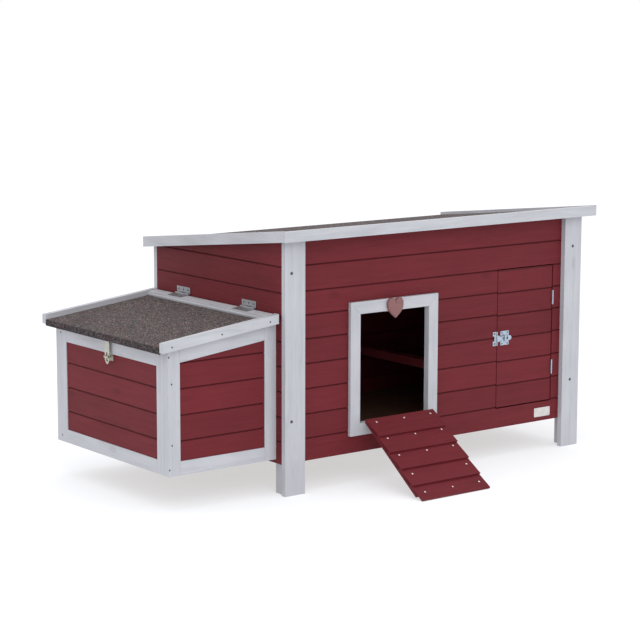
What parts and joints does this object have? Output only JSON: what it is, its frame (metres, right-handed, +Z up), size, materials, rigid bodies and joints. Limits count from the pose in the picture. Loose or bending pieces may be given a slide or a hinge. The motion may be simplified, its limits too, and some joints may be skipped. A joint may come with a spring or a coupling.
{
  "type": "chicken coop",
  "caption": "Boarded hen house on legs with a felted pent roof, side nest box with lifting lid, hinged access door with hasp, and a pop hole with fold-up slatted ramp.",
  "frame": {"origin": "on the ground at the centre of the whole footprint, nest box and lowered ramp included", "axes": "+X along the front wall to the right, from the nest box towards the access door; +Y from the front to the back; +Z up"},
  "size_m": [1.5464, 0.9448, 0.748],
  "materials": {
    "red_wood": "oxblood red paint on planed softwood, satin",
    "white_wood": "cool white paint on planed softwood, satin",
    "roof_felt": "mineral-surfaced roofing felt, brown-grey granules",
    "rose_wood": "dusty pink painted softwood",
    "bare_wood": "bare plywood and pine",
    "zinc": "bright zinc-plated pressed steel",
    "yellow_zinc": "yellow-passivated zinc-plated pressed steel"
  },
  "bodies": {
    "coop": {"front_left_post": "white_wood", "front_right_post": "white_wood", "front_left_leg": "white_wood", "front_right_leg": "white_wood", "back_left_post": "white_wood", "back_right_post": "white_wood", "front_wall_boards": "red_wood", "left_wall_boards": "red_wood", "right_wall_boards": "red_wood", "back_wall_boards": "red_wood", "floor_panel": "bare_wood", "perch": "red_wood", "roof_deck": "bare_wood", "roof_felt": "roof_felt", "roof_fascia_front": "white_wood", "roof_fascia_left": "white_wood", "roof_fascia_right": "white_wood", "pop_frame": "white_wood", "ramp_stop_block": "rose_wood", "ramp_hinge_frame_leaf": "zinc", "door_hinge_lower_wall_leaf": "zinc", "door_hinge_upper_wall_leaf": "zinc", "door_hasp_leaf": "zinc", "nest_near_frame": "white_wood", "nest_near_boards": "red_wood", "nest_far_frame": "white_wood", "nest_far_boards": "red_wood", "nest_end_frame": "white_wood", "nest_end_boards": "red_wood", "nest_floor": "bare_wood", "nest_divider": "bare_wood", "lid_hinge_near_wall_leaf": "zinc", "lid_hinge_far_wall_leaf": "zinc", "nest_turn_plate": "yellow_zinc"},
    "access_door": {"access_door_boards": "red_wood", "access_door_brace": "bare_wood", "door_hinge_lower_door_leaf": "zinc", "door_hinge_upper_door_leaf": "zinc", "door_turn_plate": "zinc"},
    "door_hasp": {"door_hasp_strap": "zinc"},
    "door_turn_knob": {"door_turn_knob": "zinc"},
    "nest_lid": {"lid_trim_near": "white_wood", "lid_trim_far": "white_wood", "lid_hinge_rail": "white_wood", "lid_deck": "bare_wood", "lid_felt": "roof_felt", "lid_hinge_near_lid_leaf": "zinc", "lid_hinge_far_lid_leaf": "zinc", "nest_hasp_leaf": "yellow_zinc"},
    "nest_hasp": {"nest_hasp_strap": "yellow_zinc"},
    "nest_turn_knob": {"nest_turn_knob": "yellow_zinc"},
    "ramp": {"ramp_slat_1": "red_wood", "ramp_slat_2": "red_wood", "ramp_slat_3": "red_wood", "ramp_slat_4": "red_wood", "ramp_slat_5": "red_wood", "ramp_batten_left": "red_wood", "ramp_batten_right": "red_wood", "ramp_hinge_ramp_leaf": "zinc"},
    "heart_catch": {"heart_catch": "rose_wood"}
  },
  "joints": [
    {"name": "access_door_hinge", "type": "hinge", "parent": "coop", "child": "access_door", "pos_m": [0.6414, -0.18847, 0.36], "axis": [0, 0, 1], "range_deg": [0, 110]},
    {"name": "door_hasp_hinge", "type": "hinge", "parent": "coop", "child": "door_hasp", "pos_m": [0.4143, -0.18767, 0.363], "axis": [0, 0, -1], "range_deg": [0, 100]},
    {"name": "door_knob_turn", "type": "hinge", "parent": "access_door", "child": "door_turn_knob", "pos_m": [0.4448, -0.19327, 0.363], "axis": [0, -1, 0], "range_deg": [0, 90]},
    {"name": "nest_lid_hinge", "type": "hinge", "parent": "coop", "child": "nest_lid", "pos_m": [-0.3916, 0.13233, 0.514], "axis": [0, 1, 0], "range_deg": [0, 76]},
    {"name": "nest_hasp_hinge", "type": "hinge", "parent": "nest_lid", "child": "nest_hasp", "pos_m": [-0.7522, 0.13133, 0.43924], "axis": [0, 1, 0], "range_deg": [0, 75]},
    {"name": "nest_knob_turn", "type": "hinge", "parent": "coop", "child": "nest_turn_knob", "pos_m": [-0.7572, 0.13133, 0.388], "axis": [-1, 0, 0], "range_deg": [0, 90]},
    {"name": "ramp_hinge", "type": "hinge", "parent": "coop", "child": "ramp", "pos_m": [0.0119, -0.20487, 0.1729], "axis": [-1, 0, 0], "range_deg": [0, 127.3]},
    {"name": "heart_catch_turn", "type": "hinge", "parent": "coop", "child": "heart_catch", "pos_m": [0.0068, -0.20097, 0.513], "axis": [0, -1, 0], "continuous": true}
  ]
}
